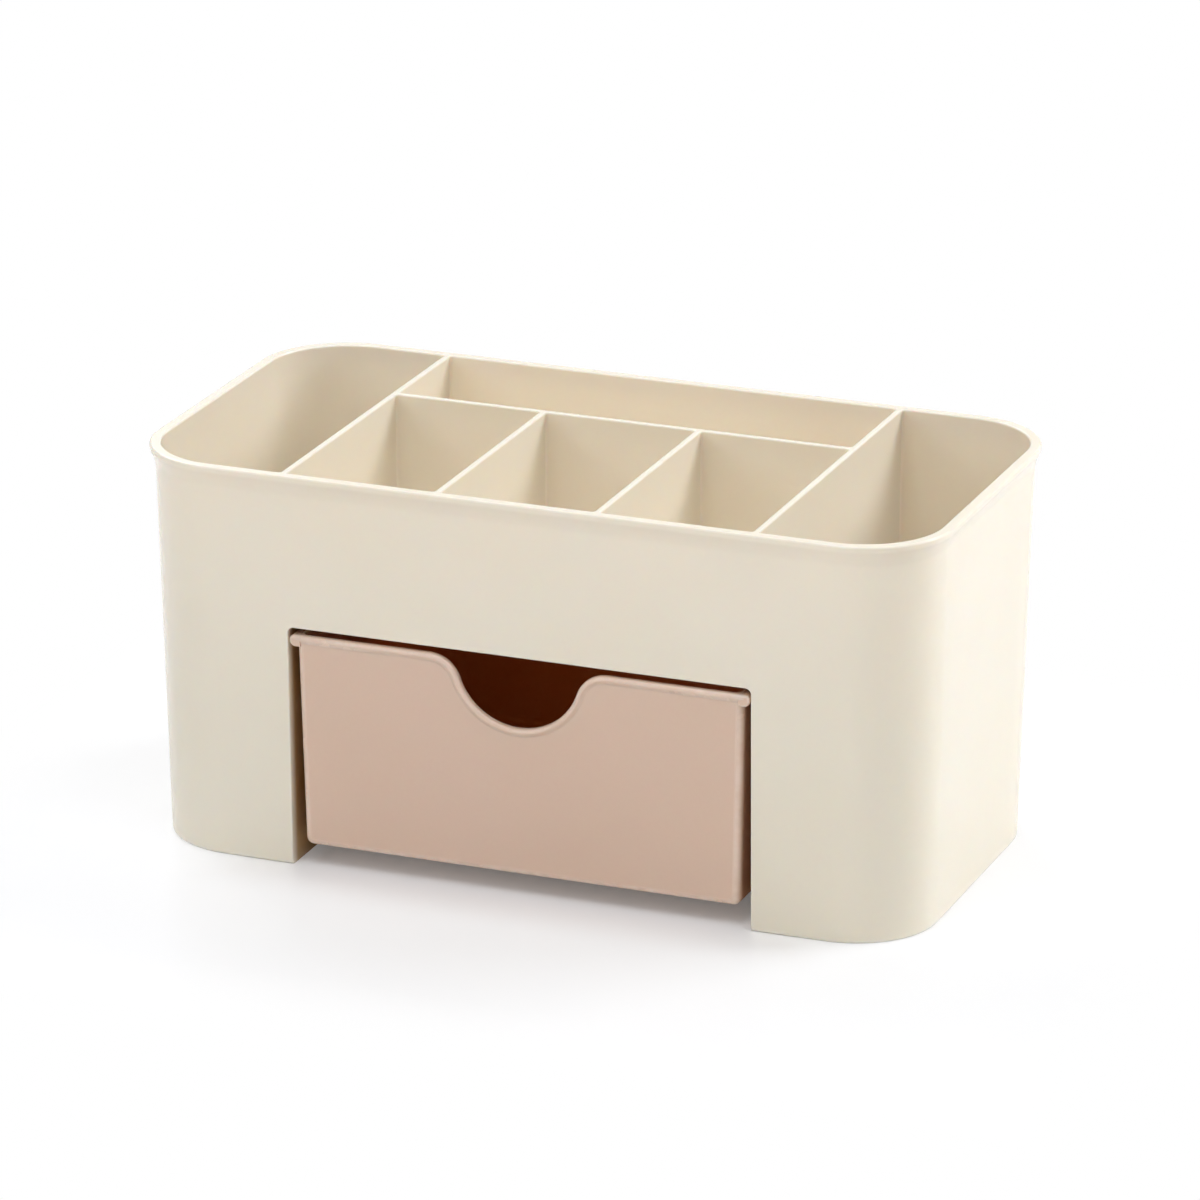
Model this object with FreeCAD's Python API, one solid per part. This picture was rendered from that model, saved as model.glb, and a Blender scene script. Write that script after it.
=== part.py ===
import FreeCAD, Part
import math
import os
from FreeCAD import Vector

os.makedirs("parts", exist_ok=True)

# Desk organizer moulded in plastic. An open box with six compartments stands on two hollow legs,
# and a drawer hangs between the legs on two ledges. Millimetres and degrees.
# +X is to the right, -Y to the front, +Z up. The origin is on the table, under the middle of the rim.
# Every wall leans by its draft so that it leaves the mould, so a side is a function of the height z.

# The box
rim_length = 221.0
rim_depth = 117.0
height = 109.0
corner_radius = 24.5
wall = 1.6
end_draft = 0.97
face_draft = 1.63
foot_rounding = 1.0

# The lip round the rim
lip_overhang = 1.4
lip_height = 0.9
lip_slope = 28.0
lip_edge_radius = 2.2
lip_blend_radius = 12.0
lip_blend_end = 3.0
rim_rounding = 0.6

# The compartments
partition = 1.7
partition_draft = 0.4
long_partition_y = 18.7
short_partition_x = 22.0
floor_thickness = 2.0
cell_corner = 0.8
leg_floor_bevel = 0.6
cell_edge_rounding = 0.5

# The bay for the drawer, open at the front and below
bay_width = 128.4
bay_height = 66.8
bay_corner = 1.6
bay_edge_rounding = 0.4
ledge_setback = 12.0
ledge_thickness = 1.8
ledge_bracket = 2.4

# The drawer and its clearances in the bay
drawer_lift = 6.0
drawer_top_gap = 2.0
drawer_side_gap = 2.2
drawer_back_gap = 1.5
runner_side_gap = 0.35
runner_rest_gap = 0.3
runner_height = 3.2
runner_nose = 1.3
ledge_side_gap = 0.4
drawer_wall = 1.5
drawer_floor = 1.8
drawer_draft = 1.15
drawer_corner = 2.0
drawer_inner_corner = 2.0

# The finger notch, and the bead along the top of the drawer front
notch_half_span = 24.7
notch_depth = 17.8
shoulder_radius = 8.8
bead_width = 1.9
bead_rise = 0.5
bead_rounding = 0.4

# Heights and half widths that follow from the sizes above
wall_corner = corner_radius - lip_overhang
bay_half = bay_width / 2
cross_wall_x = bay_half + partition / 2
shelf_top = bay_height + floor_thickness
drawer_top = bay_height - drawer_top_gap
runner_bottom = drawer_top - runner_height
runner_half = bay_half - runner_side_gap
ledge_top = runner_bottom - runner_rest_gap

# How far a cutting tool runs past a face, and how far a joined piece reaches into its wall
past = 1.0
embed = 0.6
# How far a rounding tool stands off a leaning face, so that the two cross cleanly
bite = 0.05
# Flat bands that ease a small edge
easing_bands = 2


def slope(angle):
    return math.tan(math.radians(angle))


def half_length(z):
    """Half the outside length of the box at height z."""
    return rim_length / 2 - lip_overhang - (height - z) * slope(end_draft)


def half_depth(z):
    """Half the outside depth of the box at height z."""
    return rim_depth / 2 - lip_overhang - (height - z) * slope(face_draft)


def end_inside(z):
    return half_length(z) - wall


def back_inside(z):
    return half_depth(z) - wall


def partition_half(z):
    """Half the thickness of a partition, which grows downwards."""
    return partition / 2 + (height - z) * slope(partition_draft)


def drawer_side(z):
    """Half the outside width of the drawer at height z."""
    return bay_half - drawer_side_gap - (drawer_top - z) * slope(drawer_draft)


def drawer_face(z):
    """Y of the drawer front's plain face: the bead on it ends flush with the front of the box."""
    return bead_rise - half_depth(z)


def drawer_back(z):
    return back_inside(z) - drawer_back_gap


class Sides:
    """Four upright sides, left, right, front and back, each a function of the height."""

    def __init__(self, left, right, front, back, radii):
        self.left = left
        self.right = right
        self.front = front
        self.back = back
        self.radii = radii

    def corners(self, z):
        left = self.left(z)
        right = self.right(z)
        front = self.front(z)
        back = self.back(z)
        return [Vector(left, front, z), Vector(right, front, z), Vector(right, back, z), Vector(left, back, z)]


def face_of(points):
    return Part.Face(Part.makePolygon(points + points[:1]))


def block(sides, low, high):
    """The solid between four sides, with its upright edges rounded to their radii."""
    lower = sides.corners(low)
    upper = sides.corners(high)
    faces = [face_of(lower[::-1]), face_of(upper)]
    for index in range(4):
        following = (index + 1) % 4
        faces.append(face_of([lower[index], lower[following], upper[following], upper[index]]))
    solid = Part.Solid(Part.Shell(faces))
    for index in range(4):
        if sides.radii[index] > 0:
            middle = (lower[index] + upper[index]) / 2
            edges = [edge for edge in solid.Edges if edge.CenterOfMass.distanceToPoint(middle) < 0.001]
            solid = solid.makeFillet(sides.radii[index], edges)
    return solid


def tub(sides, low, high, radius):
    """A block with its upright and lower edges rounded alike, so that its corners are parts of balls."""
    solid = block(Sides(sides.left, sides.right, sides.front, sides.back, [0] * 4), low, high)
    upper = [edge for edge in solid.Edges if edge.BoundBox.ZMin > high - 0.001]
    edges = [edge for edge in solid.Edges if not any(edge.isSame(other) for other in upper)]
    return solid.makeFillet(radius, edges)


def bar_round(sides, z, profile):
    """Bars of one profile that follow the rounded outline of four sides at height z.

    The profile lies in the XZ plane, where X counts outwards from the outline.
    """
    corners = sides.corners(z)
    inward = [Vector(1, 1, 0), Vector(-1, 1, 0), Vector(-1, -1, 0), Vector(1, -1, 0)]
    centres = []
    for index in range(4):
        centre = corners[index] + inward[index] * sides.radii[index]
        centres.append(Vector(centre.x, centre.y, 0))
    up = Vector(0, 0, 1)
    bars = []
    for index in range(4):
        angle = 180 + 90 * index
        centre = centres[index]
        bend = profile.copy()
        bend.translate(Vector(sides.radii[index], 0, 0))
        bend.rotate(Vector(), up, angle)
        bend.translate(centre)
        bars.append(bend.revolve(centre, up, 90))
        straight = profile.copy()
        straight.translate(Vector(sides.radii[index], 0, 0))
        straight.rotate(Vector(), up, angle + 90)
        straight.translate(centre)
        along = Vector(math.cos(math.radians(angle + 180)), math.sin(math.radians(angle + 180)), 0)
        length = (centres[(index + 1) % 4] - centre).dot(along)
        bars.append(straight.extrude(along * length))
    return bars


def outline_face(start, steps):
    """A face in the XZ plane. A step is the next point (x, z), or (x, z, x, z) for an arc's middle and end."""
    edges = []
    here = Vector(start[0], 0, start[1])
    for step in steps:
        end = Vector(step[-2], 0, step[-1])
        if len(step) == 4:
            edges.append(Part.Arc(here, Vector(step[0], 0, step[1]), end).toShape())
        else:
            edges.append(Part.LineSegment(here, end).toShape())
        here = end
    edges.append(Part.LineSegment(here, Vector(start[0], 0, start[1])).toShape())
    return Part.Face(Part.Wire(edges))


def quarter(centre_x, centre_z, radius, side_x, side_z):
    """The middle of the quarter circle that lies towards side_x and side_z of its centre."""
    reach = radius * math.sqrt(0.5)
    return centre_x + side_x * reach, centre_z + side_z * reach


def eased_quarter(centre_x, centre_z, radius, start):
    """Points along a quarter circle from the angle start, which ease a small edge in a few flat bands."""
    points = []
    for step in range(easing_bands + 1):
        turn = math.radians(start + 90 * step / easing_bands)
        points.append((centre_x + radius * math.cos(turn), centre_z + radius * math.sin(turn)))
    return points


def ease_lower_edge(solid, sides, z, radius):
    """Eases the outer lower edge of a block that stands at height z."""
    profile = outline_face((bite - radius, z - past), eased_quarter(bite - radius, z + radius, radius, 270) + [
        (bite + past, z + radius),
        (bite + past, z - past)])
    return solid.cut(bar_round(sides, z, profile))


def bevel_lower_edge(solid, sides, z, size):
    """Bevels the outer lower edge of a block that stands at height z."""
    profile = outline_face((-size - bite, z - bite), [
        (past, z + size + past),
        (past, z - bite)])
    return solid.cut(bar_round(sides, z, profile))


def mouth_easing(sides, z, radius):
    """What eases the edge of an opening whose mouth is the outline of four sides at height z."""
    arc = eased_quarter(radius - bite, z - radius, radius, 90)[::-1]
    profile = outline_face(arc[0], arc[1:] + [
        (radius - bite, z + past),
        (-bite - radius, z + past),
        (-bite - radius, z - radius)])
    return bar_round(sides, z, profile)


def lip_bars():
    """The lip: rounded on top, and below it an S-bend that flows into the wall."""
    outer = Sides(lambda z: -rim_length / 2, lambda z: rim_length / 2,
                  lambda z: -rim_depth / 2, lambda z: rim_depth / 2, [corner_radius] * 4)
    root = -lip_overhang - wall / 2
    steep = math.radians(lip_slope)
    end = math.radians(lip_blend_end)
    edge_z = height - lip_height
    joint_x = lip_edge_radius * (math.cos(steep) - 1)
    joint_z = edge_z - lip_edge_radius * math.sin(steep)

    def edge_arc(turn):
        return lip_edge_radius * (math.cos(turn) - 1), edge_z - lip_edge_radius * math.sin(turn)

    def blend_arc(turn):
        across = lip_blend_radius * (math.cos(steep) - math.cos(turn))
        down = lip_blend_radius * (math.sin(steep) - math.sin(turn))
        return joint_x + across, joint_z - down

    profile = outline_face((root, height), [
        (-rim_rounding, height),
        quarter(-rim_rounding, height - rim_rounding, rim_rounding, 1, 1) + (0, height - rim_rounding),
        (0, edge_z),
        edge_arc(steep / 2) + edge_arc(steep),
        blend_arc((steep + end) / 2) + blend_arc(end),
        (root, blend_arc(end)[1])])
    return bar_round(outer, height, profile)


def cross_wall_face(sign, side):
    """A face of a cross wall: side is 1 for its right face and -1 for its left face."""
    return lambda z: sign * cross_wall_x + side * partition_half(z)


def short_wall_face(sign, side):
    return lambda z: sign * short_partition_x + side * partition_half(z)


def long_wall_face(side):
    return lambda z: long_partition_y + side * partition_half(z)


def front_inside(z):
    return -back_inside(z)


def compartments():
    """The sides and floor of two deep end cells, a long tray at the back and three cells at the front."""
    large = wall_corner - wall
    small = cell_corner
    cells = [
        (Sides(lambda z: -end_inside(z), cross_wall_face(-1, -1), front_inside, back_inside,
               [large, small, small, large]), floor_thickness),
        (Sides(cross_wall_face(1, 1), end_inside, front_inside, back_inside,
               [small, large, large, small]), floor_thickness),
        (Sides(cross_wall_face(-1, 1), cross_wall_face(1, -1), long_wall_face(1), back_inside,
               [small] * 4), shelf_top)]
    left_faces = [cross_wall_face(-1, 1), short_wall_face(-1, 1), short_wall_face(1, 1)]
    right_faces = [short_wall_face(-1, -1), short_wall_face(1, -1), cross_wall_face(1, -1)]
    for left, right in zip(left_faces, right_faces):
        cells.append((Sides(left, right, front_inside, long_wall_face(-1), [small] * 4), shelf_top))
    return cells


def bay_space():
    """The drawer bay: an arch with rounded upper corners that ends at the back wall."""
    corner = bay_half - bay_corner
    corner_z = bay_height - bay_corner
    arch = outline_face((bay_half, -past), [
        (bay_half, corner_z),
        quarter(corner, corner_z, bay_corner, 1, 1) + (corner, bay_height),
        (-corner, bay_height),
        quarter(-corner, corner_z, bay_corner, -1, 1) + (-bay_half, corner_z),
        (-bay_half, -past)])
    return trimmed(arch, lambda z: -rim_depth, back_inside, -2 * past, bay_height + past)


def trimmed(profile, front, back, low, high):
    """A profile in the XZ plane drawn out along Y, and cut off by a leaning front and back."""
    profile.translate(Vector(0, -2 * rim_depth, 0))
    bar = profile.extrude(Vector(0, 4 * rim_depth, 0))
    limit = Sides(lambda z: -rim_length, lambda z: rim_length, front, back, [0] * 4)
    return bar.common(block(limit, low, high))


def ledge(side):
    """The rail that carries one runner: its underside slopes back to the side of the bay."""
    inner = drawer_side(ledge_top) + ledge_side_gap
    outer = bay_half + embed
    lower = ledge_top - ledge_thickness
    rail = outline_face((side * outer, ledge_top), [
        (side * inner, ledge_top),
        (side * inner, lower),
        (side * bay_half, lower - ledge_bracket),
        (side * outer, lower - ledge_bracket)])
    return trimmed(rail, lambda z: ledge_setback - half_depth(z), lambda z: back_inside(z) + embed, 0, bay_height)


def bay_mouth_edges(body):
    """The edges where the bay cuts the front of the box, above the foot."""
    found = []
    for edge in body.Edges:
        middle = edge.CenterOfMass
        on_front = abs(middle.y + half_depth(middle.z)) < 0.01
        if on_front and abs(middle.x) < bay_half + 0.01 and foot_rounding < middle.z < bay_height + 0.01:
            found.append(edge)
    return found


def make_housing():
    """The box in one piece, as it comes from the mould."""
    outside = Sides(lambda z: -half_length(z), half_length, lambda z: -half_depth(z), half_depth,
                    [wall_corner] * 4)
    body = ease_lower_edge(block(outside, 0, height), outside, 0, foot_rounding)
    body = body.fuse(lip_bars()).removeSplitter()
    for sides, floor_z in compartments():
        if max(sides.radii) > cell_corner:
            space = bevel_lower_edge(block(sides, floor_z, height + past), sides, floor_z, leg_floor_bevel)
        else:
            space = tub(sides, floor_z, height + past, cell_corner)
        body = body.cut(space)
        body = body.cut(mouth_easing(sides, height, cell_edge_rounding))
    body = body.cut(bay_space())
    body = body.makeFillet(bay_edge_rounding, bay_mouth_edges(body))
    body = body.fuse([ledge(-1), ledge(1)])
    return body.removeSplitter()


def notch_reach():
    """From the centre of the notch's bowl to the centre of a shoulder."""
    return (notch_half_span ** 2 + notch_depth ** 2) / (2 * notch_depth)


def bowl_radius():
    return notch_reach() - shoulder_radius


def notch_steps(offset):
    """The notch from its right end to its left, moved into the drawer's front by offset.

    A round bowl meets the straight top edge through two shoulders that bend the other way.
    """
    rise = notch_reach() - notch_depth
    shoulder_z = front_top() - shoulder_radius
    turn = math.atan2(notch_half_span, rise)
    small = shoulder_radius - offset
    bowl_bottom = front_top() - notch_depth - offset
    joint_x = notch_half_span - small * math.sin(turn)
    joint_z = shoulder_z + small * math.cos(turn)
    middle_x = notch_half_span - small * math.sin(turn / 2)
    middle_z = shoulder_z + small * math.cos(turn / 2)
    return [(middle_x, middle_z, joint_x, joint_z),
            (0, bowl_bottom, -joint_x, joint_z),
            (-middle_x, middle_z, -notch_half_span, front_top() - offset)]


def front_top():
    """The drawer's top measured along its leaning front."""
    return drawer_top / math.cos(math.radians(face_draft))


def on_front(profile, start, depth):
    """A profile drawn into the leaning front from start, counted inwards from the front of the box."""
    profile.translate(Vector(0, start, 0))
    solid = profile.extrude(Vector(0, depth, 0))
    solid.rotate(Vector(), Vector(1, 0, 0), face_draft)
    solid.translate(Vector(0, -half_depth(0), 0))
    return solid


def notch_space():
    outline = outline_face((notch_half_span, front_top()), notch_steps(0) + [
        (-notch_half_span, front_top() + past),
        (notch_half_span, front_top() + past)])
    return on_front(outline, -past, past + bead_rise + drawer_wall + past)


def bead():
    """The raised band along the upper edge of the drawer's front, which dips round the notch."""
    end = runner_half - runner_nose
    lower = front_top() - bead_width
    outline = outline_face((end, front_top() + past), [
        (end, lower),
        (notch_half_span, lower)] + notch_steps(bead_width) + [
        (-end, lower),
        (-end, front_top() + past)])
    band = on_front(outline, 0, bead_rise + embed)
    lid = Part.makeBox(2 * rim_length, 2 * rim_depth, height, Vector(-rim_length, -rim_depth, drawer_top))
    return band.cut(lid)


def runner(side):
    """The flange along one side of the drawer that slides on the ledge, with a rounded nose."""
    root = drawer_side(runner_bottom) - embed
    nose = runner_half - runner_nose
    low_z = runner_bottom + runner_nose
    high_z = drawer_top - runner_nose
    flange = outline_face((side * root, runner_bottom), [
        (side * nose, runner_bottom),
        quarter(side * nose, low_z, runner_nose, side, -1) + (side * runner_half, low_z),
        (side * runner_half, high_z),
        quarter(side * nose, high_z, runner_nose, side, 1) + (side * nose, drawer_top),
        (side * root, drawer_top)])
    return trimmed(flange, drawer_face, drawer_back, drawer_lift, height)


def bead_edges(body):
    """The edges of the bead in the plane of the box's front. The notch's own edge stays crisp."""
    found = []
    for edge in body.Edges:
        points = [vertex.Point for vertex in edge.Vertexes] + [edge.CenterOfMass]
        if all(abs(point.y + half_depth(point.z)) < 0.001 for point in points):
            radius = getattr(edge.Curve, "Radius", 0)
            if min(abs(radius - shoulder_radius), abs(radius - bowl_radius())) > 0.001:
                found.append(edge)
    return found


def make_drawer():
    """The drawer in one piece: the tray, its bead and notch, and the two runners."""
    tray = Sides(lambda z: -drawer_side(z), drawer_side, drawer_face, drawer_back, [])
    room = Sides(lambda z: drawer_wall - drawer_side(z), lambda z: drawer_side(z) - drawer_wall,
                 lambda z: drawer_face(z) + drawer_wall, lambda z: drawer_back(z) - drawer_wall, [])
    shell = tub(tray, drawer_lift, drawer_top, drawer_corner)
    space = tub(room, drawer_lift + drawer_floor, drawer_top + past, drawer_inner_corner)
    body = shell.fuse([bead(), runner(-1), runner(1)]).removeSplitter()
    body = body.cut(space)
    body = body.cut(notch_space())
    body = body.makeFillet(bead_rounding, bead_edges(body))
    return body.removeSplitter()


for name, make in (("housing", make_housing), ("drawer", make_drawer)):
    shape = make()
    print(name, "solids", len(shape.Solids), "valid", shape.isValid(), "volume", round(shape.Volume, 1))
    shape.exportStep("parts/" + name + ".step")
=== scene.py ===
import math

import bmesh
import bpy
import numpy as np
from mathutils import Matrix, Vector


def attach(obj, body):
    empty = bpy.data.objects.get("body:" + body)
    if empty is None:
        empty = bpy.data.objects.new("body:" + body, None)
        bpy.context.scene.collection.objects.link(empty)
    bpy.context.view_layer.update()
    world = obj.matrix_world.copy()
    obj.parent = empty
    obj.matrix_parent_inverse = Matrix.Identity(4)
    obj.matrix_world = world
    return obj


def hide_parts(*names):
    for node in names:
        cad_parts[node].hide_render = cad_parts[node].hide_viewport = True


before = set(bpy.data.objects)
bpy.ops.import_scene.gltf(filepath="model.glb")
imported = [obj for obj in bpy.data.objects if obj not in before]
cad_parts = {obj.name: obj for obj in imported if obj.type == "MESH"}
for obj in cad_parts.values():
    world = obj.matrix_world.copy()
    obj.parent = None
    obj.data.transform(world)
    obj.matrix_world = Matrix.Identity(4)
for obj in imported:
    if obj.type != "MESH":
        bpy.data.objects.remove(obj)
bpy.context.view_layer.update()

# A desk organizer in two mouldings of polypropylene: the box, and the drawer that slides in it.
# Sizes are in millimetres, as the mould maker would write them, and angles in degrees.
MM = 0.001

# The box: its rim, the draft of its walls, the foot's rounding
RIM_HALF_X = 110.5
RIM_HALF_Y = 58.5
HEIGHT = 109.0
RIM_CORNER = 24.5
WALL = 1.6
END_DRAFT = 0.97
FACE_DRAFT = 1.63
FOOT_ROUND = 1.0

# The lip: a rounded top, a small outer edge, and an S-bend that flows into the wall over FLOW. The plain
# wall's rows of points end at FACE_TOP and LIP_FROM, and the bend's rows run up from BEND_FROM.
LIP_OVERHANG = 1.4
LIP_HEIGHT = 0.9
LIP_SLOPE = 28.0
LIP_EDGE = 2.2
LIP_BLEND = 12.0
RIM_ROUND = 0.6
FLOW = 0.12
FACE_TOP = 100.0
LIP_FROM = 101.5
BEND_FROM = 101.9
BEND_ROWS = 26
RIM_HOLD = 0.1
WALL_CORNER = RIM_CORNER - LIP_OVERHANG

# The compartments
PARTITION = 1.7
PARTITION_DRAFT = 0.4
CROSS_X = 65.05
SHORT_X = 22.0
LONG_Y = 18.7
LEG_FLOOR = 2.0
SHELF_TOP = 68.8
CELL_CORNER = 0.8
LEG_CORNER = 0.6
MOUTH_ROUND = 0.5

# The bay for the drawer, and the two ledges in it, whose roots go LEDGE_SUNK deep into the walls
BAY_HALF = 64.2
BAY_HEIGHT = 66.8
BAY_CORNER = 1.6
BAY_ROUND = 0.4
LEDGE_INNER = 62.33
LEDGE_TOP = 61.3
LEDGE_BOTTOM = 59.5
LEDGE_ROOT = 57.1
LEDGE_SETBACK = 12.0
LEDGE_EASE = 0.25
LEDGE_SUNK = 0.6

# The drawer. Its front wall ends WALL_TOP under the top edge, and the bead covers the rest. Its runners
# start RUNNER_SUNK inside its sides, and RUNNER_SHORT, RUNNER_LIFT and EAR_BACK keep faces apart that
# would lie in one plane.
DRAWER_BOTTOM = 6.0
WALL_TOP = 1.0
DRAWER_TOP = 64.8
DRAWER_HALF = 62.0
DRAWER_DRAFT = 1.15
DRAWER_WALL = 1.5
DRAWER_FLOOR = 7.8
DRAWER_CORNER = 2.0
DRAWER_INNER_CORNER = 2.0
DRAWER_EDGE = 0.4
BACK_GAP = 1.5
RUNNER_HALF = 63.85
RUNNER_BOTTOM = 61.6
RUNNER_NOSE = 1.3
RUNNER_LOW = 1.7
EAR_ROUND = 0.7
EAR_BACK = 0.05
RUNNER_SHORT = 0.02
RUNNER_LIFT = 0.005
RUNNER_SUNK = 1.2

# The finger notch and the bead that follows it. The bead lies BEAD_IN further in than its faces' true place
# and closes BEAD_HIDDEN deep inside the wall, and its back stands BEAD_PAST behind the wall. BEAD_ENDS
# gives how far from its end each of the last sections stands, and how much it is drawn in.
NOTCH_HALF = 24.7
NOTCH_DEPTH = 17.8
SHOULDER = 8.8
BEAD_WIDTH = 1.9
BEAD_RISE = 0.5
BEAD_FOOT = 0.5
BEAD_IN = 0.01
BEAD_HIDDEN = 0.9
BEAD_PAST = 0.02
BEAD_ENDS = ((0, 0.3), (0.09, 0.12), (0.3, 0))

# A row of points this far past a rounding lies in the flat beside it, so that the flat shades flat
HOLD = 0.06
# Quads along most roundings, along the box's four corners, and along each other kind of bend
STEPS = 6
CORNER_STEPS = [20, 20, 20, 20]
END_STEPS = 18
RIM_STEPS = 8
BAY_STEPS = 8
SHOULDER_STEPS = 16
BOWL_STEPS = 48
SWELL_STEPS = 10
ROLL_STEPS = 8
THIN_STEPS = 4
# Edges sharper than this are drawn sharp, and paler edges, from rubbing and a painted highlight, show on
# bends between the other two
SHARP = 38
PALE_EDGE_FROM = 6
PALE_EDGE_FULL = 14


# Where the walls stand at height z: half widths of the box and its cells, and the faces of the drawer

def slope(angle):
    """Millimetres drawn in for each millimetre of height: the tangent of an angle in degrees."""
    return math.tan(math.radians(angle))


def half_length(z):
    """Half the box's length: the rim's, less the lip's overhang, less the ends' draft below the rim."""
    return RIM_HALF_X - LIP_OVERHANG - (HEIGHT - z) * slope(END_DRAFT)


def half_depth(z):
    """Half the box's depth: the rim's, less the lip's overhang, less the faces' draft below the rim."""
    return RIM_HALF_Y - LIP_OVERHANG - (HEIGHT - z) * slope(FACE_DRAFT)


def end_inside(z):
    """An end's inner face: half the length less the wall."""
    return half_length(z) - WALL


def back_inside(z):
    """The rear's inner face: half the depth less the wall."""
    return half_depth(z) - WALL


def partition_half(z):
    """Half a partition's thickness: half of PARTITION at the rim, plus its draft below the rim."""
    return PARTITION / 2 + (HEIGHT - z) * slope(PARTITION_DRAFT)


def drawer_side(z):
    """Half the drawer's width: DRAWER_HALF at its top, less its draft below the top."""
    return DRAWER_HALF - (DRAWER_TOP - z) * slope(DRAWER_DRAFT)


def drawer_face(z):
    """The drawer's front face: the box's leaning front, moved in by the bead's rise."""
    return BEAD_RISE - half_depth(z)


def drawer_back(z):
    """The drawer's rear face: the rear's inner face less BACK_GAP."""
    return back_inside(z) - BACK_GAP


def round_in(radius, steps):
    """A quarter circle from a flat to an upright, for a turn t of 0 to 90 degrees.

    A point lies radius (1 - sin t) in from the upright and radius (1 - cos t) above the flat.
    """
    turn = np.linspace(0, math.pi / 2, steps + 1)
    return radius * (1 - np.sin(turn)), radius * (1 - np.cos(turn))


def outline(left, right, front, back, radii, steps):
    """Rounded rectangles, one per row, as an array of rows, columns and x, y.

    Columns run anticlockwise from above through the front left, front right, back right and back left
    corners. A corner is its arc, centre plus radius times (cos a, sin a), between two points that lie
    HOLD along the sides next to it.
    """
    radii = np.asarray(radii, float)
    centres = [(left + radii[0], front + radii[0]), (right - radii[1], front + radii[1]),
               (right - radii[2], back - radii[2]), (left + radii[3], back - radii[3])]
    columns = []
    for corner, (centre_x, centre_y) in enumerate(centres):
        turn = np.linspace(math.pi, 1.5 * math.pi, steps[corner] + 1) + corner * math.pi / 2
        across = np.stack([np.cos(turn), np.sin(turn)], axis=-1)
        middle = np.stack([centre_x, centre_y], axis=-1)[:, None, :]
        arc = middle + radii[corner][:, None, None] * across[None]
        along = np.stack([-np.sin(turn), np.cos(turn)], axis=-1)
        columns += [arc[:, :1] - HOLD * along[:1], arc, arc[:, -1:] + HOLD * along[-1:]]
    return np.concatenate(columns, axis=1)


def grid(points, closed=False, skip=None):
    """The quads of a grid of points, rows by columns. skip marks the quads to leave out."""
    rows, columns = points.shape[:2]
    index = np.arange(rows * columns).reshape(rows, columns)
    following = np.roll(index, -1, axis=1)
    quads = np.stack([index[:-1], following[:-1], following[1:], index[1:]], axis=-1)
    if not closed:
        quads = quads[:, :-1]
    keep = np.ones(quads.shape[:2], bool)
    if skip is not None:
        keep &= ~skip
    return points.reshape(-1, 3), quads[keep].tolist()


def cap(loop):
    """One face that closes a flat loop with no hollows."""
    return loop, [list(range(len(loop)))]


def fill(loops, flat):
    """Triangles between closed loops that lie in one plane. flat picks the two axes they are drawn in."""
    points = np.concatenate(loops)
    edges = []
    start = 0
    for loop in loops:
        index = np.arange(start, start + len(loop))
        edges.append(np.stack([index, np.roll(index, -1)], axis=-1))
        start += len(loop)
    drawn = np.zeros_like(points)
    drawn[:, :2] = points[:, flat]
    drawing = bpy.data.meshes.new("drawing")
    drawing.from_pydata(drawn, np.concatenate(edges).tolist(), [])
    work = bmesh.new()
    work.from_mesh(drawing)
    bmesh.ops.triangle_fill(work, use_beauty=True, use_dissolve=False, edges=work.edges[:], normal=(0, 0, 1))
    work.to_mesh(drawing)
    work.free()
    faces = [list(face.vertices) for face in drawing.polygons]
    bpy.data.meshes.remove(drawing)
    return points, faces


def read(items, name, kind, width=1):
    """One property of all of a mesh's points, faces or corners, as an array."""
    values = np.empty(len(items) * width, kind)
    items.foreach_get(name, values)
    return values.reshape(-1, width) if width > 1 else values


def edge_highlight_and_wear(mesh):
    """How pale each point's edge is, from rubbing and a painted highlight: 0 to 1 as its sharpest outward
    bend goes from PALE_EDGE_FROM to PALE_EDGE_FULL degrees.

    An edge bends by the angle between the normals a and b of its two faces, atan2(|a x b|, a . b), and
    outwards where a x b points the way that the first face runs along it. A point of a filled plane stays
    plain, or its paleness would run out across that plane.
    """
    corner = read(mesh.loops, "vertex_index", np.int32)
    first = read(mesh.polygons, "loop_start", np.int32)
    size = read(mesh.polygons, "loop_total", np.int32)
    normal = read(mesh.polygons, "normal", np.float32, 3)
    place = read(mesh.vertices, "co", np.float32, 3)
    face = np.repeat(np.arange(len(size)), size)
    following = np.arange(len(corner)) + 1
    following[first + size - 1] = first
    along = place[corner[following]] - place[corner]
    one, other = np.argsort(read(mesh.loops, "edge_index", np.int32), kind="stable").reshape(-1, 2).T
    cross = np.cross(normal[face[one]], normal[face[other]])
    level = (normal[face[one]] * normal[face[other]]).sum(axis=-1)
    angle = np.degrees(np.arctan2(np.linalg.norm(cross, axis=-1), level))
    bend = np.where((cross * along[one]).sum(axis=-1) > 0, angle, -angle)
    sharpest = np.full(len(place), -180.0)
    np.maximum.at(sharpest, corner[one], bend)
    np.maximum.at(sharpest, corner[following[one]], bend)
    highlighted_and_worn = np.clip((sharpest - PALE_EDGE_FROM) / (PALE_EDGE_FULL - PALE_EDGE_FROM), 0, 1)
    highlighted_and_worn[corner[size[face] != 4]] = 0
    return highlighted_and_worn


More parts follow.
